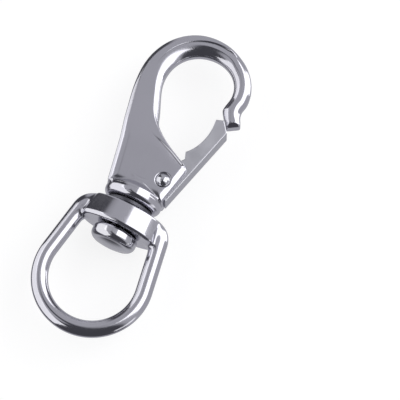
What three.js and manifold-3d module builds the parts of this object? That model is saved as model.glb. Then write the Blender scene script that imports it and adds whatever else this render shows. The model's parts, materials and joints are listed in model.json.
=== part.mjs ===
import * as THREE from 'three';
import { mergeVertices } from 'three/addons/utils/BufferGeometryUtils.js';
import Module from 'manifold-3d';

// Swivel hook, lying flat. Millimetres.
// +Y runs along the swivel axis from the eye to the hook, +X is the gate side, +Z is the thickness.
// Stations along the axis are measured from the outer end of the eye; at() moves them to the frame.
// Every piece is drawn about the swivel axis, then moved so that the origin is the middle of the whole.
// The eye sits a little askew, as far as the play of the pin in its bore lets it.
const OVERALL_LENGTH = 99.2;
const NOSE_REACH = 19.3;
const at = (station) => station - OVERALL_LENGTH / 2;

// Eye casting
const EYE_ROD_DIAMETER = 5.0;
const EYE_OUTER_RADIUS = 17.9;
const EYE_ARM_LEAN = THREE.MathUtils.degToRad(9.5);
const EYE_SHOULDER_STATION = 38.7;
const EYE_SHOULDER_RADIUS = 4.4;
const BOW_ROOT = new THREE.Vector2(4.5, 37.1);
const EYE_TILT = THREE.MathUtils.degToRad(1.4);
const EYE_TILT_STATION = 35;
const EYE_SWAY = (EYE_TILT_STATION - EYE_OUTER_RADIUS) * Math.sin(EYE_TILT);
const AXIS_OFFSET = (EYE_OUTER_RADIUS + EYE_SWAY - NOSE_REACH) / 2;
const BLOCK_FOOT = 33.4;
const BLOCK_TOP = 40.6;
const BLOCK_FACE_RADIUS = 15.0;
const BLOCK_HALF_DEPTH = 9.3;
const BLOCK_HALF_WIDTH = 11.2;
const BLOCK_TOP_HALF_WIDTH = 9.4;

// Swivel pin and thrust washer
const PIN_RADIUS = 3.55;
const PIN_HEAD_RADIUS = 6.9;
const PIN_HEAD_FACE_RADIUS = 4.9;
const PIN_HEAD_END = 28.1;
const PIN_HEAD_RIM = 1.6;
const PIN_PEEN_RADIUS = 4.4;
const PIN_PEEN_HEIGHT = 1.2;
const EYE_BORE_RADIUS = 3.85;
const RUNNING_GAP = 0.3;
const WASHER_RADIUS = 7.0;
const WASHER_THICKNESS = 1.1;

// Hook body
const COLLAR_FOOT = BLOCK_TOP + WASHER_THICKNESS + 2 * RUNNING_GAP;
const COLLAR_TOP = 46.5;
const COLLAR_RADIUS = 8.8;
const COLLAR_EDGE = 1.9;
const FLARE_RADIUS = 7.9;
const FLARE_TOP = 49.3;
const BODY_FOOT = 45.9;
const BODY_HALF_THICKNESS = 5.3;
const SLOT_HALF_WIDTH = 3.5;
const SLOT_FOOT = 47.4;
const FIT_GAP = 0.1;

// Gate, its rivet and its spring
const PIVOT = new THREE.Vector2(6.2, at(51.7));
const GATE_HALF_WIDTH = 3.2;
const GATE_SHEET = 1.0;
const GATE_LEAN = THREE.MathUtils.degToRad(15.7);
const GATE_HEEL_RADIUS = 3.8;
const SPINE_DISTANCE = 4.6;
const SPINE_FOOT_DROP = 3.5;
const SPINE_LENGTH = 23.4;
const RIVET_RADIUS = 1.6;
const RIVET_HEAD_RADIUS = 2.0;
const RIVET_HEAD_HEIGHT = 0.8;
const RIVET_RIM_HEIGHT = 0.5;
const SEAT_GAP = 0.05;
const RIVET_RECESS_RADIUS = 2.4;
const RIVET_RECESS_DEPTH = 0.4;
const SPRING_WIRE_RADIUS = 0.35;
const SPRING_COIL_RADIUS = 2.2;
const SPRING_TURNS = 3.5;
const SPRING_HALF_LENGTH = 1.5;
const SPRING_GATE_LEG = 8;
const SPRING_BODY_LEG = 7.5;
const SPRING_LEG_SHARE = 0.2;

const wasm = await Module();
wasm.setup();

// Turns a closed geometry into a solid that can be joined and cut.
function solid(geometry) {
  geometry.deleteAttribute('normal');
  geometry.deleteAttribute('uv');
  const welded = mergeVertices(geometry, 1e-5);
  const mesh = new wasm.Mesh({
    numProp: 3,
    vertProperties: new Float32Array(welded.attributes.position.array),
    triVerts: new Uint32Array(welded.index.array),
  });
  mesh.merge();
  return new wasm.Manifold(mesh);
}

// Makes the named mesh of one finished piece, turned in the hook plane by tilt about a station of the axis.
function piece(name, body, material, tilt = 0, tiltStation = 0) {
  const { vertProperties, triVerts } = body.getMesh();
  const geometry = new THREE.BufferGeometry();
  geometry.setAttribute('position', new THREE.BufferAttribute(new Float32Array(vertProperties), 3));
  geometry.setIndex(new THREE.BufferAttribute(new Uint32Array(triVerts), 1));
  geometry.translate(0, -at(tiltStation), 0);
  geometry.rotateZ(-tilt);
  geometry.translate(AXIS_OFFSET, at(tiltStation), 0);
  geometry.computeVertexNormals();
  const mesh = new THREE.Mesh(geometry, new THREE.MeshStandardMaterial(material));
  mesh.name = name;
  return mesh;
}

// A turned shape about the swivel axis; the profile is a list of [radius, station].
function turned(profile, segments = 40) {
  const points = profile.map(([radius, station]) => new THREE.Vector2(radius, at(station)));
  return solid(new THREE.LatheGeometry(points, segments));
}

// A round bar across the thickness at a point of the hook plane.
function crossBar(centre, radius, halfLength, segments = 28) {
  const bar = new THREE.CylinderGeometry(radius, radius, 2 * halfLength, segments);
  bar.rotateX(Math.PI / 2);
  bar.translate(centre.x, centre.y, 0);
  return solid(bar);
}

// A plate of constant half thickness with the given outline.
function plate(shape, halfThickness, curveSegments = 8) {
  const options = { depth: 2 * halfThickness, bevelEnabled: false, curveSegments };
  const geometry = new THREE.ExtrudeGeometry(shape, options);
  geometry.translate(0, 0, -halfThickness);
  return solid(geometry);
}

// A round rod swept along a curve.
function sweptRod(curve, radius, steps, sides) {
  const section = new THREE.Shape();
  for (let i = 0; i < sides; i += 1) {
    const angle = (2 * Math.PI * i) / sides;
    const x = radius * Math.cos(angle);
    const y = radius * Math.sin(angle);
    if (i === 0) section.moveTo(x, y);
    else section.lineTo(x, y);
  }
  section.closePath();
  return solid(new THREE.ExtrudeGeometry(section, { extrudePath: curve, steps, bevelEnabled: false }));
}

// Closed skin through rings of equal length, with a fan over each end.
function loft(rings) {
  const count = rings[0].length;
  const points = rings.flat();
  const indices = [];
  for (let i = 0; i + 1 < rings.length; i += 1) {
    for (let j = 0; j < count; j += 1) {
      const a = i * count + j;
      const b = i * count + ((j + 1) % count);
      indices.push(a, a + count, b, b, a + count, b + count);
    }
  }
  const last = (rings.length - 1) * count;
  for (let j = 1; j + 1 < count; j += 1) {
    indices.push(0, j, j + 1);
    indices.push(last, last + j + 1, last + j);
  }
  const geometry = new THREE.BufferGeometry().setFromPoints(points);
  geometry.setIndex(indices);
  return solid(geometry);
}

const line = (a, b) => new THREE.LineCurve(new THREE.Vector2(...a), new THREE.Vector2(...b));
const bend = (a, b, c, d) => new THREE.CubicBezierCurve(...[a, b, c, d].map((p) => new THREE.Vector2(...p)));

// Outer and inner edge of the hook in pairs, with the half thickness, the edge radius and the
// number of steps at the end of each stretch.
const HOOK_STRETCHES = [
  { outer: line([-8.6, BODY_FOOT], [-10.4, 56]), inner: line([8.6, BODY_FOOT], [10.9, 55.4]),
    half: BODY_HALF_THICKNESS, edge: 1.4, steps: 2 },
  { outer: line([-10.4, 56], [-11.0, 59.3]), inner: bend([10.9, 55.4], [11.4, 57.3], [11.0, 58.2], [9.4, 58.8]),
    half: BODY_HALF_THICKNESS, edge: 1.4, steps: 5 },
  { outer: line([-11.0, 59.3], [-12.3, 64.6]), inner: bend([9.4, 58.8], [5.0, 61.1], [1.7, 62.9], [-0.8, 65.3]),
    half: BODY_HALF_THICKNESS, edge: 1.5, steps: 4 },
  { outer: line([-12.3, 64.6], [-13.2, 69.2]), inner: bend([-0.8, 65.3], [-1.9, 66.4], [-2.7, 67.6], [-3.2, 69.2]),
    half: 5.0, edge: 1.9, steps: 4 },
  { outer: bend([-13.2, 69.2], [-14.1, 73.4], [-14.8, 77], [-14.8, 81]),
    inner: bend([-3.2, 69.2], [-4.4, 73.5], [-7.1, 77.8], [-7.1, 82]), half: 3.7, edge: 2.9, steps: 6 },
  { outer: bend([-14.8, 81], [-14.8, 91], [-7.6, OVERALL_LENGTH], [1.8, OVERALL_LENGTH]),
    inner: bend([-7.1, 82], [-7.1, 88.4], [-2.4, 93.1], [3.8, 93.1]), half: 3.0, edge: 2.7, steps: 9 },
  { outer: bend([1.8, OVERALL_LENGTH], [10.8, OVERALL_LENGTH], [18.3, 92.8], [18.3, 84.8]),
    inner: bend([3.8, 93.1], [9.3, 93.1], [13.1, 89.4], [13.1, 84.6]), half: 2.8, edge: 2.3, steps: 8 },
  { outer: bend([18.3, 84.8], [18.3, 83.4], [17.8, 82.8], [17.8, 81.6]),
    inner: bend([13.1, 84.6], [13.1, 83], [12.4, 81.6], [12.4, 80]), half: 2.8, edge: 2.1, steps: 3 },
  { outer: bend([17.8, 81.6], [17.8, 80.2], [18.5, 79.0], [NOSE_REACH, 77.2]),
    inner: bend([12.4, 80], [12.6, 79], [14.2, 77.3], [15.9, 75.0]), half: 2.8, edge: 1.3, steps: 4 },
];

// Rounded rectangle between two points of the hook plane, standing across the thickness.
function hookRing(outer, inner, half, edge) {
  const middle = outer.clone().add(inner).multiplyScalar(0.5);
  const along = inner.clone().sub(outer).normalize();
  const halfWidth = inner.distanceTo(outer) / 2;
  const radius = Math.min(edge, halfWidth - 0.05, half - 0.05);
  const ring = [];
  for (let corner = 0; corner < 4; corner += 1) {
    const sideways = corner === 0 || corner === 3 ? 1 : -1;
    const upward = corner < 2 ? 1 : -1;
    for (let i = 0; i <= 4; i += 1) {
      const angle = (Math.PI / 2) * (corner + i / 4);
      const across = sideways * (halfWidth - radius) + radius * Math.cos(angle);
      const height = upward * (half - radius) + radius * Math.sin(angle);
      ring.push(new THREE.Vector3(middle.x + along.x * across, at(middle.y + along.y * across), height));
    }
  }
  return ring;
}

function hookBlank() {
  const rings = [];
  let half = BODY_HALF_THICKNESS;
  let edge = HOOK_STRETCHES[0].edge;
  HOOK_STRETCHES.forEach((stretch, index) => {
    for (let i = index === 0 ? 0 : 1; i <= stretch.steps; i += 1) {
      const t = i / stretch.steps;
      const halfHere = THREE.MathUtils.lerp(half, stretch.half, t);
      const edgeHere = THREE.MathUtils.lerp(edge, stretch.edge, t);
      rings.push(hookRing(stretch.outer.getPoint(t), stretch.inner.getPoint(t), halfHere, edgeHere));
    }
    half = stretch.half;
    edge = stretch.edge;
  });
  return loft(rings);
}

// Bead at the foot of the body with a rounded rim.
function collar() {
  const profile = [[0, COLLAR_FOOT]];
  for (let i = 0; i <= 4; i += 1) {
    const angle = (Math.PI / 2) * (i / 4);
    profile.push([
      COLLAR_RADIUS - COLLAR_EDGE + COLLAR_EDGE * Math.sin(angle),
      COLLAR_FOOT + COLLAR_EDGE * (1 - Math.cos(angle)),
    ]);
  }
  for (let i = 0; i <= 4; i += 1) {
    const angle = (Math.PI / 2) * (i / 4);
    profile.push([
      COLLAR_RADIUS - COLLAR_EDGE + COLLAR_EDGE * Math.cos(angle),
      COLLAR_TOP - COLLAR_EDGE * (1 - Math.sin(angle)),
    ]);
  }
  profile.push([0, COLLAR_TOP]);
  return turned(profile);
}

// Cone that leads from the collar into the flat faces of the body.
function neckFlare() {
  return turned([
    [0, BODY_FOOT],
    [FLARE_RADIUS, BODY_FOOT],
    [FLARE_RADIUS, COLLAR_TOP],
    [BODY_HALF_THICKNESS, FLARE_TOP],
    [0, FLARE_TOP],
  ]);
}

// Pocket for the gate, open to the right side and into the floor of the bowl.
function gatePocket() {
  const shape = new THREE.Shape();
  shape.moveTo(1.2, at(SLOT_FOOT));
  shape.lineTo(16, at(SLOT_FOOT));
  shape.lineTo(16, at(70));
  shape.lineTo(-0.9, at(70));
  shape.lineTo(-1.5, at(61));
  shape.closePath();
  return plate(shape, SLOT_HALF_WIDTH);
}

function hookBody() {
  const bore = turned([
    [0, COLLAR_FOOT - 1],
    [PIN_RADIUS + FIT_GAP, COLLAR_FOOT - 1],
    [PIN_RADIUS + FIT_GAP, SLOT_FOOT - PIN_PEEN_HEIGHT],
    [PIN_PEEN_RADIUS + FIT_GAP, SLOT_FOOT],
    [0, SLOT_FOOT],
  ]);
  const rivetHole = crossBar(PIVOT, RIVET_RADIUS + FIT_GAP, BODY_HALF_THICKNESS + 1);
  let body = hookBlank().add(collar()).add(neckFlare());
  body = body.subtract(gatePocket()).subtract(bore).subtract(rivetHole);
  for (const side of [-1, 1]) {
    const recess = crossBar(PIVOT, RIVET_RECESS_RADIUS, RIVET_RECESS_DEPTH);
    body = body.subtract(recess.translate([0, 0, side * BODY_HALF_THICKNESS]));
  }
  return body;
}

// Rivet with a domed head over each cheek.
function gatePin() {
  const seat = BODY_HALF_THICKNESS - RIVET_RECESS_DEPTH + SEAT_GAP;
  const profile = [];
  for (let i = 0; i <= 3; i += 1) {
    const angle = (Math.PI / 2) * (i / 3);
    profile.push([
      RIVET_HEAD_RADIUS * Math.sin(angle),
      seat + RIVET_RIM_HEIGHT + RIVET_HEAD_HEIGHT * Math.cos(angle),
    ]);
  }
  profile.push([RIVET_HEAD_RADIUS, seat], [RIVET_RADIUS, seat]);
  const mirrored = profile.map(([radius, height]) => [radius, -height]).reverse();
  const points = [...profile, ...mirrored].map(([radius, height]) => new THREE.Vector2(radius, -height));
  const rivet = new THREE.LatheGeometry(points, 28);
  rivet.rotateX(Math.PI / 2);
  rivet.translate(PIVOT.x, PIVOT.y, 0);
  return solid(rivet);
}

// Side view of the gate: heel round the rivet, straight spine, cut end that meets the nose, hollow inner edge.
function gateOutline() {
  const shape = new THREE.Shape();
  const heel = new THREE.Vector2(Math.cos(-GATE_LEAN), Math.sin(-GATE_LEAN)).multiplyScalar(SPINE_DISTANCE);
  const along = new THREE.Vector2(Math.sin(GATE_LEAN), Math.cos(GATE_LEAN));
  const spineFoot = PIVOT.clone().add(heel).addScaledVector(along, -SPINE_FOOT_DROP);
  const spineTop = PIVOT.clone().add(heel).addScaledVector(along, SPINE_LENGTH);
  shape.moveTo(spineFoot.x, spineFoot.y);
  shape.lineTo(spineTop.x, spineTop.y);
  shape.lineTo(14.5, at(76.4));
  shape.lineTo(12.2, at(75.7));
  shape.bezierCurveTo(12.8, at(70.8), 11.5, at(66), 8.3, at(62.9));
  shape.lineTo(9.0, at(60.8));
  const heelTop = THREE.MathUtils.degToRad(160);
  const heelEnd = THREE.MathUtils.degToRad(292);
  shape.lineTo(PIVOT.x + GATE_HEEL_RADIUS * Math.cos(heelTop), PIVOT.y + GATE_HEEL_RADIUS * Math.sin(heelTop));
  shape.absarc(PIVOT.x, PIVOT.y, GATE_HEEL_RADIUS, heelTop, heelEnd, false);
  shape.closePath();
  return shape;
}

function gate() {
  const channel = new THREE.Shape();
  const inside = SPINE_DISTANCE - GATE_SHEET;
  const below = -2 * SPINE_DISTANCE;
  const above = 2 * SPINE_LENGTH;
  const corners = [[inside, below], [inside, above], [-above, above], [-above, below]];
  corners.forEach(([across, up], index) => {
    const x = PIVOT.x + across * Math.cos(GATE_LEAN) + up * Math.sin(GATE_LEAN);
    const y = PIVOT.y - across * Math.sin(GATE_LEAN) + up * Math.cos(GATE_LEAN);
    if (index === 0) channel.moveTo(x, y);
    else channel.lineTo(x, y);
  });
  channel.closePath();
  const hollow = plate(channel, GATE_HALF_WIDTH - GATE_SHEET);
  const rivetHole = crossBar(PIVOT, RIVET_RADIUS + FIT_GAP, GATE_HALF_WIDTH + 1);
  return plate(gateOutline(), GATE_HALF_WIDTH, 10).subtract(hollow).subtract(rivetHole);
}

// Torsion spring: a leg along the spine of the gate, the coil, and a leg against the pocket wall.
class SpringLine extends THREE.Curve {
  getPoint(t, target = new THREE.Vector3()) {
    const turn = 2 * Math.PI * SPRING_TURNS;
    const coil = THREE.MathUtils.clamp((t - SPRING_LEG_SHARE) / (1 - 2 * SPRING_LEG_SHARE), 0, 1);
    const angle = -GATE_LEAN - coil * turn;
    const height = SPRING_HALF_LENGTH * (1 - 2 * coil);
    let reach = 0;
    if (t < SPRING_LEG_SHARE) reach = SPRING_GATE_LEG * (1 - t / SPRING_LEG_SHARE);
    if (t > 1 - SPRING_LEG_SHARE) reach = -SPRING_BODY_LEG * (1 - (1 - t) / SPRING_LEG_SHARE);
    const x = PIVOT.x + SPRING_COIL_RADIUS * Math.cos(angle) - reach * Math.sin(angle);
    const y = PIVOT.y + SPRING_COIL_RADIUS * Math.sin(angle) + reach * Math.cos(angle);
    return target.set(x, y, height);
  }
}

function gateSpring() {
  return sweptRod(new SpringLine(), SPRING_WIRE_RADIUS, 110, 6);
}

// Headed pin: low dome inside the eye, shank through the block, peened end flush in the pocket floor.
function swivelPin() {
  const shoulder = BLOCK_FOOT - RUNNING_GAP;
  const profile = [[0, PIN_HEAD_END], [PIN_HEAD_FACE_RADIUS, PIN_HEAD_END]];
  const rimHeight = shoulder - PIN_HEAD_RIM - PIN_HEAD_END;
  for (let i = 1; i <= 4; i += 1) {
    const angle = (Math.PI / 2) * (i / 4);
    profile.push([
      PIN_HEAD_FACE_RADIUS + (PIN_HEAD_RADIUS - PIN_HEAD_FACE_RADIUS) * Math.sin(angle),
      PIN_HEAD_END + rimHeight * (1 - Math.cos(angle)),
    ]);
  }
  profile.push([PIN_HEAD_RADIUS, shoulder], [PIN_RADIUS, shoulder]);
  profile.push([PIN_RADIUS, SLOT_FOOT - PIN_PEEN_HEIGHT], [PIN_PEEN_RADIUS, SLOT_FOOT], [0, SLOT_FOOT]);
  return turned(profile);
}

function thrustWasher() {
  const foot = BLOCK_TOP + RUNNING_GAP;
  const top = foot + WASHER_THICKNESS;
  return turned([
    [EYE_BORE_RADIUS, foot],
    [WASHER_RADIUS, foot],
    [WASHER_RADIUS, top],
    [EYE_BORE_RADIUS, top],
    [EYE_BORE_RADIUS, foot],
  ]);
}

// Centreline of the bow: up one arm from the block, round the end, and back up the other arm.
function bowLine() {
  const radius = EYE_OUTER_RADIUS - EYE_ROD_DIAMETER / 2;
  const centre = new THREE.Vector2(0, at(EYE_OUTER_RADIUS));
  const shoulder = at(EYE_SHOULDER_STATION);
  const lean = EYE_ARM_LEAN;
  const tangentX = radius * Math.cos(lean);
  const tangentY = centre.y + radius * Math.sin(lean);
  const armX = (y) => tangentX - (y - tangentY) * Math.tan(lean);
  const setback = EYE_SHOULDER_RADIUS * Math.tan((Math.PI / 2 - lean) / 2);
  const cornerX = armX(shoulder);
  const bow = new THREE.CurvePath();
  const point = (x, y) => new THREE.Vector3(x, y, 0);
  const armTop = point(cornerX + setback * Math.sin(lean), shoulder - setback * Math.cos(lean));
  const shoulderEnd = point(cornerX - setback, shoulder);
  const mirror = (p) => point(-p.x, p.y);
  const corner = point(cornerX, shoulder);
  const arc = [];
  for (let i = 0; i <= 24; i += 1) {
    const angle = lean - (i / 24) * (Math.PI + 2 * lean);
    arc.push(point(radius * Math.cos(angle), centre.y + radius * Math.sin(angle)));
  }
  const root = point(BOW_ROOT.x, at(BOW_ROOT.y));
  bow.add(new THREE.LineCurve3(root, shoulderEnd));
  bow.add(new THREE.QuadraticBezierCurve3(shoulderEnd, corner, armTop));
  bow.add(new THREE.LineCurve3(armTop, arc[0]));
  bow.add(new THREE.CatmullRomCurve3(arc));
  bow.add(new THREE.LineCurve3(arc[24], mirror(armTop)));
  bow.add(new THREE.QuadraticBezierCurve3(mirror(armTop), mirror(corner), mirror(shoulderEnd)));
  bow.add(new THREE.LineCurve3(mirror(shoulderEnd), mirror(root)));
  return bow;
}

// Plan of the block, bulged to the front and to the back about the swivel axis.
function blockPlan() {
  const offset = BLOCK_FACE_RADIUS - BLOCK_HALF_DEPTH;
  const reach = Math.asin(BLOCK_HALF_WIDTH / BLOCK_FACE_RADIUS);
  const plan = new THREE.Shape();
  plan.absarc(0, -offset, BLOCK_FACE_RADIUS, Math.PI / 2 - reach, Math.PI / 2 + reach, false);
  plan.absarc(0, offset, BLOCK_FACE_RADIUS, 1.5 * Math.PI - reach, 1.5 * Math.PI + reach, false);
  plan.closePath();
  return plan;
}

// Front view of the block, with ends that lean like the arms of the bow.
function blockFront() {
  const front = new THREE.Shape();
  front.moveTo(-BLOCK_HALF_WIDTH, at(BLOCK_FOOT));
  front.lineTo(BLOCK_HALF_WIDTH, at(BLOCK_FOOT));
  front.lineTo(BLOCK_TOP_HALF_WIDTH, at(BLOCK_TOP));
  front.lineTo(-BLOCK_TOP_HALF_WIDTH, at(BLOCK_TOP));
  front.closePath();
  return plate(front, BLOCK_HALF_DEPTH + 1);
}

function swivelEye() {
  const height = BLOCK_TOP - BLOCK_FOOT;
  const block = new THREE.ExtrudeGeometry(blockPlan(), { depth: height, bevelEnabled: false, curveSegments: 16 });
  block.rotateX(-Math.PI / 2);
  block.translate(0, at(BLOCK_FOOT), 0);
  const bow = sweptRod(bowLine(), EYE_ROD_DIAMETER / 2, 84, 14);
  const bore = turned([
    [0, BLOCK_FOOT - 2],
    [EYE_BORE_RADIUS, BLOCK_FOOT - 2],
    [EYE_BORE_RADIUS, BLOCK_TOP + 2],
    [0, BLOCK_TOP + 2],
  ]);
  return solid(block).intersect(blockFront()).add(bow).subtract(bore);
}

const POLISHED_CASTING = { color: 0xb9babf, roughness: 0.16, metalness: 1 };
const PRESSED_SHEET = { color: 0xb4b6bb, roughness: 0.2, metalness: 1 };
const TURNED_STEEL = { color: 0xc2c3c6, roughness: 0.18, metalness: 1 };
const SPRING_WIRE = { color: 0x9d9fa4, roughness: 0.28, metalness: 1 };

const swivelHook = new THREE.Group();
swivelHook.name = 'swivel_hook';
swivelHook.add(
  piece('hook_body', hookBody(), POLISHED_CASTING),
  piece('gate', gate(), PRESSED_SHEET),
  piece('gate_pin', gatePin(), TURNED_STEEL),
  piece('gate_spring', gateSpring(), SPRING_WIRE),
  piece('swivel_pin', swivelPin(), TURNED_STEEL),
  piece('thrust_washer', thrustWasher(), PRESSED_SHEET),
  piece('swivel_eye', swivelEye(), POLISHED_CASTING, EYE_TILT, EYE_TILT_STATION),
);

export default swivelHook;
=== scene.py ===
"""Swivel hook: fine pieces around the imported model, with polished steel, a pale floor and a soft studio.

Shapes are worked out in millimetres and become metres when a mesh is made. Stations run along the
swivel axis from the outer end of the eye, as a caliper laid along the hook would read them.
"""

import json
import math

import bpy
import numpy as np
from mathutils import Matrix, Vector
from mathutils.kdtree import KDTree


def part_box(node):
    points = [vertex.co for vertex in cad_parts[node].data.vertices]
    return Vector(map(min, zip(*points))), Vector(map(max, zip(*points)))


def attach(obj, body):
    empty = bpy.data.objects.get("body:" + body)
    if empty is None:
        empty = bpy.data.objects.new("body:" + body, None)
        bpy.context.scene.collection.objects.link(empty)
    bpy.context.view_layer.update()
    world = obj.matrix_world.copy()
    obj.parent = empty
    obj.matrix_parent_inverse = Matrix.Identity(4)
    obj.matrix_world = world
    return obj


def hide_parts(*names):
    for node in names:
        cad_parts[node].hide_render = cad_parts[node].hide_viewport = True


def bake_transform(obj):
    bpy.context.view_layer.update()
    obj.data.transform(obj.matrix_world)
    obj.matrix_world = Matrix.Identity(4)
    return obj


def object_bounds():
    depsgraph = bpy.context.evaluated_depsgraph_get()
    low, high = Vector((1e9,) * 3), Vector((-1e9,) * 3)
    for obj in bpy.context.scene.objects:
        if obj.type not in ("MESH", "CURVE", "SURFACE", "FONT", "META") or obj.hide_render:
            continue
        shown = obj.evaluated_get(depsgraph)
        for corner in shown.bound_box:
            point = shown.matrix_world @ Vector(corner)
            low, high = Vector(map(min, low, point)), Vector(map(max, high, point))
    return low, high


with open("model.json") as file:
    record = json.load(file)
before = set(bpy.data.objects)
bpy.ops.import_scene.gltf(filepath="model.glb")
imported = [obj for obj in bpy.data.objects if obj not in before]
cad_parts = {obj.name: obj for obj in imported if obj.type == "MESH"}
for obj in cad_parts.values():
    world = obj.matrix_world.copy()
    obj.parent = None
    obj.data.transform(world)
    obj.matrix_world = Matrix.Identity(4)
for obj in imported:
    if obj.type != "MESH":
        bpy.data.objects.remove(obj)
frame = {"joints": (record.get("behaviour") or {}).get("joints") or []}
CAD_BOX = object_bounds()

MM = 0.001
JOINTS = {joint["name"]: joint for joint in frame["joints"]}
AXIS_X = JOINTS["swivel"]["pos_m"][0] / MM
PIVOT = np.array(JOINTS["gate_hinge"]["pos_m"]) / MM
LENGTH = 99.2
EYE_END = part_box("hook_body")[1].y / MM - LENGTH
FLOOR_Z = CAD_BOX[0][2]

# Hook casting
RIVET_RISE = 0.95
BODY_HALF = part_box("gate_pin")[1].z / MM - RIVET_RISE
BODY_EDGE = (2.9, 1.2)
FLOOR_EDGE = (0.3, 0.3)
WALL_EDGE = (2.4, 1.3)
ROD_HALF = 3.0
ROD_OUTER_EDGE = (1.8, 1.8)
ROD_INNER_EDGE = (4.2, 2.2)
NOSE_HALF = 2.8
NOSE_EDGE = 2.4
WALL_DRAFT = 0.1
THINNING = (60, 84)
OUTER_EDGE_CHANGE = (62, 82)
FLOOR_TO_WALL = (64, 72)
WALL_TO_ROD = (76, 90)
DRAFTED_FROM = (65, 71)
KNUCKLE_END = (60, 68)
NOSE_ACROSS = (6, 11)
NOSE_ALONG = (70, 75)
NOSE_TIP = (80, 77)
NOSE_TIP_SHARPER = 0.7
COLLAR_FOOT = 42.3
COLLAR_TOP = 46.6
COLLAR_RADIUS = 8.8
COLLAR_EDGE = 1.95
FLARE_TOP = 49.3
FLARE_BULGE = 2.3
POCKET_HALF = 3.5
POCKET_FOOT = 47.4
BORE_RADIUS = 3.65
RIVET_HOLE = 1.7
RECESS_RADIUS = 2.15
RIVET_HEAD_RADIUS = 2.0
RECESS_DEPTH = 0.3

# Eye casting
ROD_RADIUS = 2.5
EYE_RADIUS = 15.4
EYE_LEAN = math.radians(9.5)
EYE_TILT = math.radians(1.4)
EYE_TILT_STATION = 35.0
SHOULDER_STATION = 38.7
SHOULDER_RADIUS = 4.4
BOW_ROOT = (4.5, 37.1)
BLOCK_FOOT = 33.4
BLOCK_TOP = 40.6
BLOCK_HALF_DEPTH = 9.25
BLOCK_FOOT_FACE_RADIUS = 15.2
BLOCK_TOP_FACE_RADIUS = 14.1
BLOCK_FOOT_EDGE = 1.2
BLOCK_TOP_EDGE = 0.6
BLOCK_FOOT_WIDTH = 11.3
BLOCK_TOP_WIDTH = 9.6
EYE_BORE_RADIUS = 3.85
BOW_FILLET = 3.0
WASHER_SEAT_CLEARANCE = 0.6

# Swivel pin and washer
PIN_HEAD_RADIUS = 6.9
PIN_HEAD_END = 28.1
PIN_DOME_RADIUS = 13.0
PIN_FACE_RADIUS = 4.9
PIN_RIM_RADIUS = 2.0
PIN_SHANK_RADIUS = 3.55
PIN_PEEN_RADIUS = 4.4
WASHER_RADIUS = 7.0
WASHER_INSIDE = 3.85
WASHER_FOOT = 40.9
WASHER_TOP = 42.0
WASHER_EDGE = 0.15

# Gate
GATE_LEAN = math.radians(15.7)
SPINE_DISTANCE = 4.6
SPINE_DROP = 4.4
SPINE_LENGTH = 23.4
GATE_HALF = 3.2
SHEET = 0.9
BEND_RADIUS = 0.4
HEEL_RADIUS = 3.8

# Gate rivet and spring
RIVET_SHANK_RADIUS = 1.6
RIVET_DOME_RADIUS = 2.3
SPRING_COIL_RADIUS = 2.2
SPRING_WIRE_RADIUS = 0.35
SPRING_TURNS = 3.5
SPRING_HALF_LENGTH = 1.5
SPRING_GATE_LEG = 8.0
SPRING_BODY_LEG = 7.5
SPRING_LEG_SHARE = 0.2

# Camera: leans off the upright, roll, distance in metres, aim beside the hook, and focal length
CAMERA_LEAN_ACROSS = math.radians(9.22)
CAMERA_LEAN_ALONG = math.radians(16.06)
CAMERA_ROLL = math.radians(26.2)
CAMERA_DISTANCE = 0.724
CAMERA_STATION = 49.2
AIM_RIGHT = 0.01745
AIM_DOWN = 0.00455
FOCAL_LENGTH = 223.3


def at(station):
    return EYE_END + station


# ---------------------------------------------------------------- curves of the hook plane

def line(a, b, count=2):
    t = np.linspace(0, 1, count)[:, None]
    return np.array(a) * (1 - t) + np.array(b) * t


def bend(a, b, c, d, count=60):
    t = np.linspace(0, 1, count)[:, None]
    a, b, c, d = (np.array(p, float) for p in (a, b, c, d))
    return a * (1 - t) ** 3 + 3 * b * t * (1 - t) ** 2 + 3 * c * t ** 2 * (1 - t) + d * t ** 3


def arc(centre, radius, start, end, count=90):
    angle = np.linspace(start, end, count)
    return np.array(centre) + radius * np.stack([np.cos(angle), np.sin(angle)], 1)


def even(points, spacing):
    """The closed curve through the points, sampled evenly."""
    loop = np.vstack([points, points[:1]])
    length = np.hypot(*np.diff(loop, axis=0).T)
    keep = np.append(True, length > 1e-9)
    loop = loop[keep]
    run = np.append(0, np.cumsum(length[length > 1e-9]))
    count = max(16, int(run[-1] / spacing))
    where = np.linspace(0, run[-1], count, endpoint=False)
    return np.stack([np.interp(where, run, loop[:, axis]) for axis in (0, 1)], 1)


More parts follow.
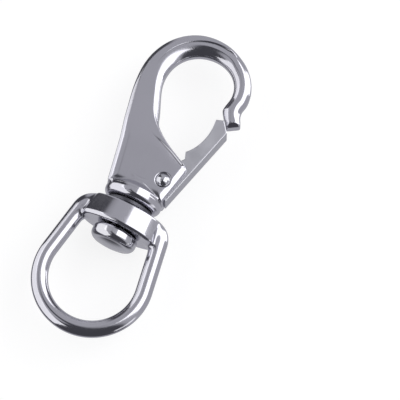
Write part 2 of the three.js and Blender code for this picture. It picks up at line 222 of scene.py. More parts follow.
class Outline:
    """Signed distance to a closed curve of the hook plane, kept on a grid and read back smoothly."""

    def __init__(self, points, cell=0.16, margin=5.0):
        curve = even(np.asarray(points, float), 0.06)
        self.low = curve.min(0) - margin
        self.cell = cell
        size = np.ceil((curve.max(0) + margin - self.low) / cell).astype(int) + 1
        xs = self.low[0] + cell * np.arange(size[0])
        ys = self.low[1] + cell * np.arange(size[1])
        tree = KDTree(len(curve))
        for index, (x, y) in enumerate(curve):
            tree.insert((x, y, 0.0), index)
        tree.balance()
        nearest = np.array([tree.find((x, y, 0.0))[1] for x in xs for y in ys])
        nodes = np.stack(np.meshgrid(xs, ys, indexing="ij"), -1).reshape(-1, 2)
        distance = np.full(len(nodes), np.inf)
        for step in (-1, 1):
            a = curve[nearest]
            b = curve[(nearest + step) % len(curve)]
            along = b - a
            share = ((nodes - a) * along).sum(1) / (along ** 2).sum(1)
            gap = nodes - a - np.clip(share, 0, 1)[:, None] * along
            distance = np.minimum(distance, np.hypot(gap[:, 0], gap[:, 1]))
        self.grid = distance.reshape(size)
        following = np.roll(curve, -1, axis=0)
        for column, y in enumerate(ys):
            crossing = (curve[:, 1] > y) != (following[:, 1] > y)
            p, q = curve[crossing], following[crossing]
            cuts = np.sort(p[:, 0] + (y - p[:, 1]) * (q[:, 0] - p[:, 0]) / (q[:, 1] - p[:, 1]))
            inside = np.searchsorted(cuts, xs) % 2 == 1
            self.grid[inside, column] *= -1

    def __call__(self, x, y):
        x, y = np.broadcast_arrays(x, y)
        place = ((x - self.low[0]) / self.cell, (y - self.low[1]) / self.cell)
        index, weights = [], []
        for axis, p in enumerate(place):
            i = np.clip(np.floor(p).astype(int), 1, self.grid.shape[axis] - 3)
            t = np.clip(p - i, -1, 2)
            index.append(i)
            weights.append((
                0.5 * (-t + 2 * t ** 2 - t ** 3),
                0.5 * (2 - 5 * t ** 2 + 3 * t ** 3),
                0.5 * (t + 4 * t ** 2 - 3 * t ** 3),
                0.5 * (-t ** 2 + t ** 3),
            ))
        total = np.zeros(x.shape)
        for a in range(4):
            for b in range(4):
                total += weights[0][a] * weights[1][b] * self.grid[index[0] - 1 + a, index[1] - 1 + b]
        return total


# ---------------------------------------------------------------- solids as fields, negative inside

def join(a, b, blend):
    """Union with a fillet about as wide as blend."""
    gap = np.maximum(blend - np.abs(a - b), 0) / blend
    return np.minimum(a, b) - gap ** 3 * blend / 6


def cut(a, b, blend):
    """a without b, with the new edges eased."""
    return -join(-a, b, blend)


def both(a, b, blend):
    return -join(-a, -b, blend)


def rounded(p, q, radius):
    """Intersection of two half spaces with a round edge."""
    p = p + radius
    q = q + radius
    return np.minimum(np.maximum(p, q), 0) + np.hypot(np.maximum(p, 0), np.maximum(q, 0)) - radius


def ease(low, high, value):
    """0 at low and 1 at high, smooth in between; low may be the larger one."""
    t = np.clip((value - low) / (high - low), 0, 1)
    return t * t * (3 - 2 * t)


# ---------------------------------------------------------------- meshes from fields

def surface_net(field, low, high, cell):
    """Vertices and quads of the surface where the field is zero."""
    axes = [np.arange(a, b + cell, cell) for a, b in zip(low, high)]
    value = field(axes[0][:, None, None], axes[1][None, :, None], axes[2][None, None, :])
    inside = value < 0
    shape = np.array(inside.shape) - 1
    corner = [slice(0, -1), slice(1, None)]
    count = np.zeros(shape, np.int8)
    for i in (0, 1):
        for j in (0, 1):
            for k in (0, 1):
                count += inside[corner[i], corner[j], corner[k]]
    active = (count > 0) & (count < 8)
    cells = np.argwhere(active)
    number = np.full(shape, -1, np.int64)
    number[active] = np.arange(len(cells))
    total = np.zeros((len(cells), 3))
    hits = np.zeros(len(cells))
    for axis in range(3):
        others = [k for k in range(3) if k != axis]
        for i in (0, 1):
            for j in (0, 1):
                a = cells.copy()
                a[:, others[0]] += i
                a[:, others[1]] += j
                b = a.copy()
                b[:, axis] += 1
                va, vb = value[tuple(a.T)], value[tuple(b.T)]
                crossed = (va < 0) != (vb < 0)
                point = a[crossed].astype(float)
                point[:, axis] += va[crossed] / (va[crossed] - vb[crossed])
                total[crossed] += point
                hits[crossed] += 1
    vertices = np.array(low) + cell * total / hits[:, None]
    quads = []
    for axis in range(3):
        u, v = (axis + 1) % 3, (axis + 2) % 3
        first = [slice(1, -1)] * 3
        first[axis] = slice(0, -1)
        second = list(first)
        second[axis] = slice(1, None)
        start = inside[tuple(first)]
        crossed = np.argwhere(start != inside[tuple(second)])
        leaving = start[tuple(crossed.T)]
        place = crossed + 1
        place[:, axis] -= 1
        ring = []
        for du, dv in ((-1, -1), (0, -1), (0, 0), (-1, 0)):
            step = place.copy()
            step[:, u] += du
            step[:, v] += dv
            ring.append(number[tuple(step.T)])
        ring = np.stack(ring, 1)
        ring[~leaving] = ring[~leaving][:, ::-1]
        quads.append(ring)
    return vertices, np.vstack(quads)


def gradient(field, points, step=0.01):
    slope = np.zeros_like(points)
    for axis in range(3):
        shift = np.zeros(3)
        shift[axis] = step
        ahead = field(*(points + shift).T)
        behind = field(*(points - shift).T)
        slope[:, axis] = (ahead - behind) / (2 * step)
    return slope


def settle(field, points, cell, rounds=3):
    """Moves points onto the surface, never more than half a cell at a time."""
    for _ in range(rounds):
        slope = gradient(field, points)
        move = -(field(*points.T) / np.maximum((slope ** 2).sum(1), 0.05))[:, None] * slope
        length = np.maximum(np.linalg.norm(move, axis=1, keepdims=True), 1e-12)
        points = points + move * np.minimum(1, 0.5 * cell / length)
    return points


def spread(points, quads, share=0.6):
    """Moves each point towards the middle of its neighbours."""
    count = len(points)
    ends = np.vstack([quads[:, [k, (k + 1) % 4]] for k in range(4)])
    ends = np.vstack([ends, ends[:, ::-1]])
    degree = np.bincount(ends[:, 0], minlength=count)
    middle = np.stack([np.bincount(ends[:, 0], points[ends[:, 1], axis], count) for axis in range(3)], 1)
    return points + share * (middle / np.maximum(degree, 1)[:, None] - points)


def field_mesh(name, field, low, high, cell):
    """Fine mesh of a field, with its points evened out and laid exactly on the surface."""
    points, quads = surface_net(field, low, high, cell)
    for _ in range(4):
        points = settle(field, spread(points, quads), cell, 1)
    points = settle(field, points, cell)
    normal = gradient(field, points)
    normal /= np.linalg.norm(normal, axis=1, keepdims=True)
    # how hollow each point is, which the materials use to paint shade into the hollows
    hollow = ((spread(points, quads, 1.0) - points) * normal).sum(1) / cell
    return mesh_object(name, points, quads, np.clip(hollow * 6, 0, 1))


def mesh_object(name, points, faces, hollow=None):
    """Blender object from points in millimetres, with the hollow places stored for the materials to paint
    shade into.
    """
    mesh = bpy.data.meshes.new(name)
    mesh.from_pydata((np.asarray(points) * MM).tolist(), [], [tuple(map(int, face)) for face in faces])
    mesh.update()
    mesh.shade_smooth()
    store = mesh.attributes.new("hollow", "FLOAT", "POINT")
    store.data.foreach_set("value", np.zeros(len(points)) if hollow is None else hollow)
    obj = bpy.data.objects.new(name, mesh)
    bpy.context.scene.collection.objects.link(obj)
    return obj


# ---------------------------------------------------------------- hook casting

def bowl_edge():
    """Inner edge of the hook from the nose round the bowl to the knuckle."""
    return [
        bend((15.2, 75.7), (14.0, 77.6), (12.6, 79), (12.4, 80)),
        bend((12.4, 80), (12.4, 81.6), (13.1, 83), (13.1, 84.6)),
        bend((13.1, 84.6), (13.1, 89.4), (9.3, 93.1), (3.8, 93.1)),
        bend((3.8, 93.1), (-2.4, 93.1), (-7.1, 88.4), (-7.1, 82)),
        bend((-7.1, 82), (-7.1, 77.8), (-4.4, 73.5), (-3.2, 69.2)),
        bend((-3.2, 69.2), (-2.7, 67.6), (-1.9, 66.4), (-0.8, 65.3)),
        bend((-0.8, 65.3), (1.7, 62.9), (5.0, 61.1), (9.4, 58.8)),
    ]


def hook_outline():
    """Side view of the casting: up the back, round the bowl to the nose, and back along the inside."""
    outer = [
        line((-8.6, 45.4), (-10.4, 56)),
        line((-10.4, 56), (-11.0, 59.3)),
        line((-11.0, 59.3), (-12.3, 64.6)),
        line((-12.3, 64.6), (-13.2, 69.2)),
        bend((-13.2, 69.2), (-14.1, 73.4), (-14.8, 77), (-14.8, 81)),
        bend((-14.8, 81), (-14.8, 91), (-7.6, LENGTH), (1.8, LENGTH)),
        bend((1.8, LENGTH), (10.8, LENGTH), (18.3, 92.8), (18.3, 84.8)),
        bend((18.3, 84.8), (18.3, 83.4), (17.8, 82.8), (17.8, 81.6)),
        bend((17.8, 81.6), (17.8, 80.2), (18.4, 79.3), (19.0, 78.0)),
        bend((19.0, 78.0), (19.4, 77.2), (19.3, 77.0), (18.6, 76.6), 20),
    ]
    nose_end = [bend((16.6, 75.4), (15.9, 75.0), (15.6, 75.0), (15.2, 75.7), 20)]
    knuckle = [
        bend((9.4, 58.8), (11.0, 58.2), (11.4, 57.3), (10.9, 55.4)),
        line((10.9, 55.4), (8.6, 45.4)),
    ]
    return np.vstack(outer + nose_end + bowl_edge() + knuckle) + [AXIS_X, EYE_END]


def pocket_outline():
    corners = [(1.2, POCKET_FOOT), (17, POCKET_FOOT), (17, 71), (-1.0, 71), (-1.5, 61)]
    return np.array(corners) + [AXIS_X, EYE_END]


def hook_field():
    side = Outline(hook_outline())
    bowl = Outline(np.vstack(bowl_edge()) + [AXIS_X, EYE_END], cell=0.25)
    pocket = Outline(pocket_outline(), cell=0.25)

    def edge_size(station, to_bowl, nose, part):
        """Width (part 0) or depth (part 1) of the eased edge, which differs inside and outside the bowl."""
        outer = BODY_EDGE[part] + (ROD_OUTER_EDGE[part] - BODY_EDGE[part]) * ease(*OUTER_EDGE_CHANGE, station)
        wall = FLOOR_EDGE[part] + (WALL_EDGE[part] - FLOOR_EDGE[part]) * ease(*FLOOR_TO_WALL, station)
        inner = wall + (ROD_INNER_EDGE[part] - WALL_EDGE[part]) * ease(*WALL_TO_ROD, station)
        reach = 0.3 + 3.8 * ease(*KNUCKLE_END, station)
        size = outer + (inner - outer) * ease(reach + 0.6, reach, to_bowl)
        return size + (NOSE_EDGE - size) * nose - NOSE_TIP_SHARPER * ease(*NOSE_TIP, station) * nose

    def blank(x, y, z):
        station = y - EYE_END
        slim = ease(*THINNING, station)
        nose = ease(*NOSE_ACROSS, x - AXIS_X) * ease(*NOSE_ALONG, station)
        half = (BODY_HALF + (ROD_HALF - BODY_HALF) * slim) * (1 - nose) + NOSE_HALF * nose
        to_bowl = bowl(x, y)
        width, depth = (edge_size(station, to_bowl, nose, part) for part in (0, 1))
        draft = WALL_DRAFT * np.abs(z) * ease(4.5, 2.5, to_bowl) * ease(*DRAFTED_FROM, station) * (1 - nose)
        return rounded((side(x, y) + draft) * depth / width, np.abs(z) - half, depth)

    def field(x, y, z):
        station = y - EYE_END
        reach = np.hypot(x - AXIS_X, z)
        body = both(blank(x, y, z), COLLAR_TOP - 1 - station, 0.2)
        rise = np.clip((FLARE_TOP - station) / (FLARE_TOP - COLLAR_TOP), 0, 1.2)
        flare = np.maximum(reach - BODY_HALF - FLARE_BULGE * rise ** 2, station - FLARE_TOP)
        flare = both(flare, COLLAR_TOP - 1 - station, 0.2)
        beyond_ends = np.abs(station - (COLLAR_FOOT + COLLAR_TOP) / 2) - (COLLAR_TOP - COLLAR_FOOT) / 2
        bead = rounded(reach - COLLAR_RADIUS, beyond_ends, COLLAR_EDGE)
        whole = join(join(body, flare, 0.9), bead, 0.5)
        slot = rounded(pocket(x, y), np.abs(z) - POCKET_HALF, 0.3)
        whole = cut(whole, slot, 0.5)
        bore = np.maximum(reach - BORE_RADIUS, station - POCKET_FOOT - 1)
        whole = cut(whole, bore, 0.3)
        rivet = np.hypot(x - PIVOT[0], y - PIVOT[1])
        recess = np.maximum(rivet - RECESS_RADIUS, BODY_HALF - RECESS_DEPTH - np.abs(z))
        whole = cut(whole, recess, 0.45)
        return cut(whole, rivet - RIVET_HOLE, 0.2)

    return field


def hook_casting(cell):
    low, high = (np.array(corner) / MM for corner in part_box("hook_body"))
    return field_mesh("hook_casting", hook_field(), low - 0.8, high + 0.8, cell)


# ---------------------------------------------------------------- eye casting

def bow_centre_line():
    """Centre line of the bow, closed through the block, as [across, station] in the eye."""
    centre = np.array([0.0, EYE_RADIUS + ROD_RADIUS])
    tangent = centre + EYE_RADIUS * np.array([math.cos(EYE_LEAN), math.sin(EYE_LEAN)])
    corner = np.array([tangent[0] - (SHOULDER_STATION - tangent[1]) * math.tan(EYE_LEAN), SHOULDER_STATION])
    setback = SHOULDER_RADIUS * math.tan((math.pi / 2 - EYE_LEAN) / 2)
    arm_top = corner + setback * np.array([math.sin(EYE_LEAN), -math.cos(EYE_LEAN)])
    shoulder = corner - [setback, 0]
    turn = bend(shoulder, (shoulder + 2 * corner) / 3, (arm_top + 2 * corner) / 3, arm_top)
    right = np.vstack([[BOW_ROOT], turn, arc(centre, EYE_RADIUS, EYE_LEAN, -math.pi / 2, 200)])
    return np.vstack([right, right[::-1] * [-1, 1]])


def eye_field():
    bow_line = Outline(bow_centre_line())
    height = BLOCK_TOP - BLOCK_FOOT
    end_lean = (BLOCK_FOOT_WIDTH - BLOCK_TOP_WIDTH) / height
    face_lean = (BLOCK_FOOT_FACE_RADIUS - BLOCK_TOP_FACE_RADIUS) / height
    offset = BLOCK_FOOT_FACE_RADIUS - BLOCK_HALF_DEPTH

    def field(x, y, z):
        ahead = y - EYE_END - EYE_TILT_STATION
        across = (x - AXIS_X) * math.cos(EYE_TILT) - ahead * math.sin(EYE_TILT)
        station = (x - AXIS_X) * math.sin(EYE_TILT) + ahead * math.cos(EYE_TILT) + EYE_TILT_STATION
        bow = np.hypot(bow_line(across, station), z) - ROD_RADIUS
        above_foot = station - BLOCK_FOOT
        faces = np.hypot(across, np.abs(z) + offset) - BLOCK_FOOT_FACE_RADIUS + face_lean * above_foot
        ends = (np.abs(across) - BLOCK_FOOT_WIDTH + end_lean * above_foot) / math.hypot(1, end_lean)
        plan = both(faces, ends, 1.2)
        block = rounded(rounded(plan, -above_foot, BLOCK_FOOT_EDGE), above_foot - height, BLOCK_TOP_EDGE)
        whole = join(block, bow, BOW_FILLET)
        reach = np.hypot(across, z)
        washer_seat = np.maximum(reach - WASHER_RADIUS - WASHER_SEAT_CLEARANCE, BLOCK_TOP - station)
        whole = cut(whole, washer_seat, 0.4)
        bore = np.maximum(reach - EYE_BORE_RADIUS, BLOCK_FOOT - 2 - station)
        return cut(whole, bore, 0.5)

    return field


def eye_casting(cell):
    low, high = (np.array(corner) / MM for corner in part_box("swivel_eye"))
    return field_mesh("eye_casting", eye_field(), low - 0.8, high + 0.8, cell)


# ---------------------------------------------------------------- gate of pressed sheet

def gate_outline():
    heel = np.array([math.cos(GATE_LEAN), -math.sin(GATE_LEAN)]) * SPINE_DISTANCE
    along = np.array([math.sin(GATE_LEAN), math.cos(GATE_LEAN)])
    pivot = PIVOT[:2] - [AXIS_X, EYE_END]
    foot = pivot + heel - SPINE_DROP * along
    top = pivot + heel + SPINE_LENGTH * along
    points = np.vstack([
        [foot, top, (14.5, 76.4), (12.2, 75.7)],
        bend((12.2, 75.7), (12.8, 70.8), (11.5, 66), (8.3, 62.9)),
        [(9.0, 60.8)],
        arc(pivot, HEEL_RADIUS, math.radians(160), math.radians(292), 60),
    ])
    return points + [AXIS_X, EYE_END]


def gate_field():
    side = Outline(gate_outline(), cell=0.1)

    def field(x, y, z):
        outward = (x - PIVOT[0]) * math.cos(GATE_LEAN) - (y - PIVOT[1]) * math.sin(GATE_LEAN)
        inward = SPINE_DISTANCE - outward
        outside = rounded(-inward, np.abs(z) - GATE_HALF, BEND_RADIUS)
        inside = rounded(SHEET - inward, np.abs(z) - GATE_HALF + SHEET, 0.1)
        channel = cut(outside, inside, 0.15)
        whole = both(channel, side(x, y), 0.35)
        return cut(whole, np.hypot(x - PIVOT[0], y - PIVOT[1]) - RIVET_HOLE, 0.2)

    return field


def gate_channel(cell):
    low, high = (np.array(corner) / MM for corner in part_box("gate"))
    return field_mesh("gate_channel", gate_field(), low - 1.5, high + 0.8, cell)


# ---------------------------------------------------------------- turned pieces and the spring

def quarter(centre, radius, start, end, count=8):
    """Arc of a turned profile, as [radius, height] points."""
    return arc(centre, radius, math.radians(start), math.radians(end), count).tolist()


def turned(name, profile, to_frame, closed=False, sides=128):
    """Solid of revolution of [radius, height] points, from axis to axis unless the profile is closed."""
    profile = np.array(profile)
    angle = np.linspace(0, 2 * math.pi, sides, endpoint=False)
    poles = [] if closed else [profile[0], profile[-1]]
    rings = profile if closed else profile[1:-1]
    points = np.concatenate([
        np.stack([r * np.cos(angle), r * np.sin(angle), np.full(sides, h)], 1) for r, h in rings
    ])
    faces = []
    count = len(rings)
    for i in range(count if closed else count - 1):
        for j in range(sides):
            a = i * sides + j
            b = i * sides + (j + 1) % sides
            c = ((i + 1) % count) * sides + (j + 1) % sides
            d = ((i + 1) % count) * sides + j
            faces.append((a, b, c, d))
    if poles:
        first, last = len(points), len(points) + 1
        points = np.vstack([points, [[0, 0, poles[0][1]], [0, 0, poles[1][1]]]])
        base = (count - 1) * sides
        faces += [(first, (j + 1) % sides, j) for j in range(sides)]
        faces += [(last, base + j, base + (j + 1) % sides) for j in range(sides)]
    points = points @ np.array(to_frame[0]).T + np.array(to_frame[1])
    obj = mesh_object(name, points, faces)
    obj.modifiers.new("flats stay flat", "WEIGHTED_NORMAL")
    return obj


ALONG_Y = ((0, 1, 0), (0, 0, 1), (1, 0, 0))
ALONG_Z = ((1, 0, 0), (0, 1, 0), (0, 0, 1))


def headed_pin():
    """Domed head, shank, and the peened end in the floor of the gate pocket."""
    dome = PIN_DOME_RADIUS
    dome_end = -math.pi / 2 + math.asin(PIN_FACE_RADIUS / dome)
    profile = arc((0, PIN_HEAD_END + dome), dome, -math.pi / 2, dome_end, 14).tolist()
    profile += quarter((PIN_FACE_RADIUS, 31.0), PIN_RIM_RADIUS, -68, 0, 14)
    profile += quarter((PIN_HEAD_RADIUS - 1.0, 32.1), 1.0, 0, 90, 8)
    profile += [[PIN_SHANK_RADIUS + 0.2, 33.1], [PIN_SHANK_RADIUS, 33.3], [PIN_SHANK_RADIUS, 46.2]]
    profile += [[PIN_PEEN_RADIUS, 47.35], [PIN_PEEN_RADIUS - 0.2, 47.45], [0, 47.5]]
    return turned("headed_pin", profile, (ALONG_Y, (AXIS_X, EYE_END, 0)))


def washer_ring():
    edge = WASHER_EDGE
    inner, outer = WASHER_INSIDE + edge, WASHER_RADIUS - edge
    low, high = WASHER_FOOT + edge, WASHER_TOP - edge
    profile = quarter((inner, low), edge, 180, 270, 4)
    profile += quarter((outer, low), edge, -90, 0, 4)
    profile += quarter((outer, high), edge, 0, 90, 4)
    profile += quarter((inner, high), edge, 90, 180, 4)
    return turned("washer_ring", profile, (ALONG_Y, (AXIS_X, EYE_END, 0)), closed=True)


def gate_rivet():
    """Rivet with the same domed head on both cheeks."""
    seat = BODY_HALF - RECESS_DEPTH + 0.05
    dome = RIVET_DOME_RADIUS
    half_angle = math.degrees(math.asin(0.95 * RIVET_HEAD_RADIUS / dome))
    cap = quarter((0, BODY_HALF + RIVET_RISE - dome), dome, 90, 90 - half_angle, 16)
    rim = [[RIVET_HEAD_RADIUS, cap[-1][1] - 0.2], [RIVET_HEAD_RADIUS, seat + 0.1]]
    rim += [[RIVET_HEAD_RADIUS - 0.1, seat], [RIVET_SHANK_RADIUS, seat]]
    upper = cap + rim
    lower = [[r, -h] for r, h in reversed(upper)]
    profile = lower + [[r, h] for r, h in reversed(upper)]
    return turned("gate_rivet", profile, (ALONG_Z, (PIVOT[0], PIVOT[1], 0)), sides=96)


def torsion_spring():
    """Wire coil on the rivet, one leg along the gate and one leg along the pocket wall."""
    share = SPRING_LEG_SHARE
    t = np.linspace(0, 1, 600)
    coil = np.clip((t - share) / (1 - 2 * share), 0, 1)
    angle = -GATE_LEAN - 2 * math.pi * SPRING_TURNS * coil
    reach = np.where(t < share, SPRING_GATE_LEG * (1 - t / share), 0.0)
    reach = np.where(t > 1 - share, -SPRING_BODY_LEG * (1 - (1 - t) / share), reach)
    path = np.stack([
        PIVOT[0] + SPRING_COIL_RADIUS * np.cos(angle) - reach * np.sin(angle),
        PIVOT[1] + SPRING_COIL_RADIUS * np.sin(angle) + reach * np.cos(angle),
        SPRING_HALF_LENGTH * (1 - 2 * coil),
    ], 1)
    tangent = np.gradient(path, axis=0)
    tangent /= np.linalg.norm(tangent, axis=1, keepdims=True)
    side = np.cross(tangent, [0, 0, 1.0])
    side /= np.linalg.norm(side, axis=1, keepdims=True)
    up = np.cross(side, tangent)
    sides = 12
    around = np.linspace(0, 2 * math.pi, sides, endpoint=False)[None, :, None]
    ring = SPRING_WIRE_RADIUS * (np.cos(around) * side[:, None] + np.sin(around) * up[:, None])
    points = (path[:, None] + ring).reshape(-1, 3)
    faces = []
    for i in range(len(path) - 1):
        for j in range(sides):
            a, b = i * sides + j, i * sides + (j + 1) % sides
            faces.append((a, b, b + sides, a + sides))
    last = (len(path) - 1) * sides
    faces.append(tuple(reversed(range(sides))))
    faces.append(tuple(last + j for j in range(sides)))
    return mesh_object("torsion_spring", points, faces)


# ---------------------------------------------------------------- materials

def steel(name, colour, roughness, grain, grain_scale, grain_depth, hollow_shade_strength=0.5):
    """Bare steel: a hazy polish that varies, fine marks of the mop along one direction, and painted shade
    that darkens the hollows.
    """
    material = bpy.data.materials.new(name)
    material.use_nodes = True
    nodes, links = material.node_tree.nodes, material.node_tree.links
    shader = nodes["Principled BSDF"]
    shader.inputs["Metallic"].default_value = 1.0
    place = nodes.new("ShaderNodeTexCoord")

    def noise(scale, detail, stretch=(1, 1, 1)):
        mapping = nodes.new("ShaderNodeMapping")
        mapping.inputs["Scale"].default_value = stretch
        links.new(place.outputs["Object"], mapping.inputs["Vector"])
        texture = nodes.new("ShaderNodeTexNoise")
        texture.inputs["Scale"].default_value = scale
        texture.inputs["Detail"].default_value = detail
        links.new(mapping.outputs["Vector"], texture.inputs["Vector"])
        return texture.outputs["Fac"]

    def spread_over(source, low, high):
        ramp = nodes.new("ShaderNodeMapRange")
        ramp.inputs["From Min"].default_value = 0.3
        ramp.inputs["From Max"].default_value = 0.7
        ramp.inputs["To Min"].default_value = low
        ramp.inputs["To Max"].default_value = high
        links.new(source, ramp.inputs["Value"])
        return ramp.outputs["Result"]

    haze = noise(160, 4)
    marks = noise(grain_scale, 3, grain)
    rough = nodes.new("ShaderNodeMath")
    rough.operation = "ADD"
    links.new(spread_over(haze, roughness * 0.75, roughness * 1.3), rough.inputs[0])
    links.new(spread_over(marks, -0.015, 0.02), rough.inputs[1])
    links.new(rough.outputs[0], shader.inputs["Roughness"])

    tint = nodes.new("ShaderNodeMix")
    tint.data_type = "RGBA"
    tint.inputs["A"].default_value = (*[c * 0.965 for c in colour], 1)
    tint.inputs["B"].default_value = (*[min(1, c * 1.02) for c in colour], 1)
    links.new(noise(60, 3), tint.inputs["Factor"])
    # painted shade: the base colour is darkened where the mesh is hollow
    hollow = nodes.new("ShaderNodeAttribute")
    hollow.attribute_name = "hollow"
    painted_hollow_shade = nodes.new("ShaderNodeMix")
    painted_hollow_shade.data_type = "RGBA"
    painted_hollow_shade.inputs["B"].default_value = (*[c * (1 - hollow_shade_strength) for c in colour], 1)
    links.new(hollow.outputs["Fac"], painted_hollow_shade.inputs["Factor"])
    links.new(tint.outputs["Result"], painted_hollow_shade.inputs["A"])
    links.new(painted_hollow_shade.outputs["Result"], shader.inputs["Base Color"])

    bump = nodes.new("ShaderNodeBump")
    bump.inputs["Strength"].default_value = 0.25
    bump.inputs["Distance"].default_value = grain_depth
    links.new(marks, bump.inputs["Height"])
    links.new(bump.outputs["Normal"], shader.inputs["Normal"])
    return material


def polished_casting():
    return steel("polished_casting", (0.62, 0.615, 0.665), 0.13, (1, 0.12, 1), 900, 0.000004)


def pressed_sheet():
    return steel("pressed_sheet", (0.60, 0.60, 0.64), 0.38, (1, 0.08, 1), 1300, 0.000006)


def turned_steel():
    return steel("turned_steel", (0.64, 0.64, 0.68), 0.12, (0.3, 1, 0.3), 1500, 0.000004)


# the washer's steel is painted nearly black to stand in for the shade in the narrow gap under the collar
def washer_painted_shade():
    return steel("washer_painted_shade", (0.13, 0.13, 0.15), 0.38, (1, 1, 1), 1200, 0.000006)


def spring_wire():
    return steel("spring_wire", (0.48, 0.48, 0.51), 0.26, (1, 1, 1), 1400, 0.000008)


# ---------------------------------------------------------------- studio

def floor():
    mesh = bpy.data.meshes.new("floor")
    half = 3.0
    corners = [(-half, -half, FLOOR_Z), (half, -half, FLOOR_Z), (half, half, FLOOR_Z), (-half, half, FLOOR_Z)]
    mesh.from_pydata(corners, [], [(0, 1, 2, 3)])
    obj = bpy.data.objects.new("floor", mesh)
    bpy.context.scene.collection.objects.link(obj)
    material = bpy.data.materials.new("pale_floor")
    material.use_nodes = True
    nodes, links = material.node_tree.nodes, material.node_tree.links
    shader = nodes["Principled BSDF"]
    shader.inputs["Roughness"].default_value = 0.9
    shader.inputs["Specular IOR Level"].default_value = 0.0
    shader.inputs["Emission Color"].default_value = (1, 1, 1, 1)
    shader.inputs["Emission Strength"].default_value = 0.82
    mottle = nodes.new("ShaderNodeTexNoise")
    mottle.inputs["Scale"].default_value = 30
    ramp = nodes.new("ShaderNodeMapRange")
    ramp.inputs["To Min"].default_value = 0.24
    ramp.inputs["To Max"].default_value = 0.26
    links.new(mottle.outputs["Fac"], ramp.inputs["Value"])
    links.new(ramp.outputs["Result"], shader.inputs["Base Color"])
    obj.data.materials.append(material)
    obj.visible_glossy = False
    obj.visible_shadow = False


def softbox(name, centre, facing, width, height, radiance):
    """Evenly bright rectangle at a place in metres, turned to shine against the facing direction."""
    light = bpy.data.lights.new(name, "AREA")
    light.shape = "RECTANGLE"
    light.size = width
    light.size_y = height
    light.energy = radiance * math.pi * width * height
    obj = bpy.data.objects.new(name, light)
    bpy.context.scene.collection.objects.link(obj)
    turn = Vector(facing).to_track_quat("Z", "Y").to_matrix().to_4x4()
    obj.matrix_world = Matrix.Translation(centre) @ turn
    obj.visible_camera = False
    return obj


def wall_box(name, azimuth, elevation, width, height, radiance, distance=0.9):
    """Softbox around the hook, its middle in the given direction in degrees."""
    a, e = math.radians(azimuth), math.radians(elevation)
    direction = Vector((math.cos(e) * math.cos(a), math.cos(e) * math.sin(a), math.sin(e)))
    return softbox(name, direction * distance, direction, width, height, radiance)


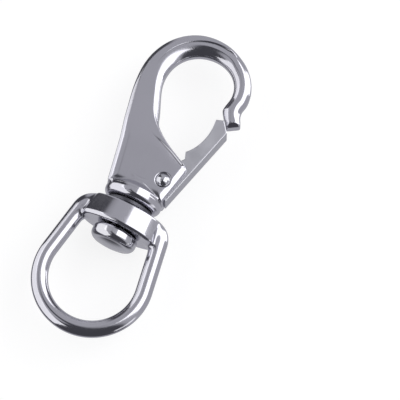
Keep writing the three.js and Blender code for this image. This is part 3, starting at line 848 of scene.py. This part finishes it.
def studio():
    """Room that is grey on the gate's side and below, dark elsewhere, with softboxes above and around."""
    world = bpy.data.worlds.new("studio")
    bpy.context.scene.world = world
    world.use_nodes = True
    nodes, links = world.node_tree.nodes, world.node_tree.links
    place = nodes.new("ShaderNodeTexCoord")

    def share(direction, low, high):
        """0 to 1 as the looked-at direction turns towards the given one."""
        dot = nodes.new("ShaderNodeVectorMath")
        dot.operation = "DOT_PRODUCT"
        dot.inputs[1].default_value = direction
        links.new(place.outputs["Generated"], dot.inputs[0])
        ramp = nodes.new("ShaderNodeMapRange")
        ramp.interpolation_type = "SMOOTHSTEP"
        ramp.inputs["From Min"].default_value = low
        ramp.inputs["From Max"].default_value = high
        links.new(dot.outputs["Value"], ramp.inputs["Value"])
        return ramp.outputs["Result"]

    def combined(operation, a, b):
        node = nodes.new("ShaderNodeMath")
        node.operation = operation
        links.new(a, node.inputs[0])
        links.new(b, node.inputs[1])
        return node.outputs[0]

    gate_side = share((0.735, 0.677, 0.043), -0.05, 0.1)
    hook_side = share((0.45, 0.89, 0.05), -0.05, 0.1)
    lit = combined("MINIMUM", gate_side, hook_side)
    lit = combined("MAXIMUM", lit, share((-0.55, 0.25, 0.80), 0.93, 0.965))
    lit = combined("MAXIMUM", lit, share((-0.385, -0.269, 0.883), 0.965, 0.985))
    lit = combined("MAXIMUM", lit, share((0, 0, -1), 0.55, 0.85))
    mix = nodes.new("ShaderNodeMix")
    mix.data_type = "RGBA"
    mix.inputs["A"].default_value = (0.07, 0.07, 0.08, 1)
    mix.inputs["B"].default_value = (0.49, 0.49, 0.52, 1)
    links.new(lit, mix.inputs["Factor"])
    links.new(mix.outputs["Result"], nodes["Background"].inputs["Color"])
    nodes["Background"].inputs["Strength"].default_value = 1.0
    softbox("overhead_box", (0.55, 0.40, 0.5), (0, 0, 1), 0.90, 0.94, 1.4)
    wall_box("gate_side_box", 48, 8, 0.5, 1.3, 1.4)
    wall_box("low_gate_side_box", -27, -12, 0.45, 0.32, 0.8)
    wall_box("far_side_box", 204, 15, 1.86, 1.4, 1.15)


def camera():
    """Long lens above the hook, a little to the eye end and to the gate side."""
    back = Vector((math.tan(CAMERA_LEAN_ACROSS), -math.tan(CAMERA_LEAN_ALONG), 1)).normalized()
    along = Vector((0, 1, 0))
    upright = (along - back * along.dot(back)).normalized()
    rightward = upright.cross(back)
    up = upright * math.cos(CAMERA_ROLL) - rightward * math.sin(CAMERA_ROLL)
    right = upright * math.sin(CAMERA_ROLL) + rightward * math.cos(CAMERA_ROLL)
    eye = Vector((AXIS_X, at(CAMERA_STATION), 0)) * MM + back * CAMERA_DISTANCE
    aim = (-back * CAMERA_DISTANCE + right * AIM_RIGHT - up * AIM_DOWN).normalized()
    side = aim.cross(up).normalized()
    top = side.cross(aim)
    data = bpy.data.cameras.new("camera")
    data.lens = FOCAL_LENGTH
    data.sensor_width = 36
    data.clip_end = 20
    obj = bpy.data.objects.new("camera", data)
    bpy.context.scene.collection.objects.link(obj)
    turn = Matrix((side, top, -aim)).transposed().to_4x4()
    obj.matrix_world = Matrix.Translation(eye) @ turn
    bpy.context.scene.camera = obj


def place(piece, node, body, slot, material):
    piece.data.materials.append(material)
    if body:
        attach(piece, body)
    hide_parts(node)


camera()
floor()
studio()
bpy.context.scene.view_settings.view_transform = "Standard"

casting, sheet, lathe, wire = polished_casting(), pressed_sheet(), turned_steel(), spring_wire()
fine = 0.22
place(hook_casting(fine), "hook_body", "hook", "polished_casting", casting)
place(eye_casting(fine), "swivel_eye", "eye", "polished_casting", casting)
place(gate_channel(fine * 0.7), "gate", "gate", "pressed_sheet", sheet)
place(gate_rivet(), "gate_pin", "hook", "turned_steel", lathe)
place(headed_pin(), "swivel_pin", "hook", "turned_steel", lathe)
place(washer_ring(), "thrust_washer", "washer", "pressed_sheet", washer_painted_shade())
spring = torsion_spring()
place(spring, "gate_spring", None, "spring_wire", wire)
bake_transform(spring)
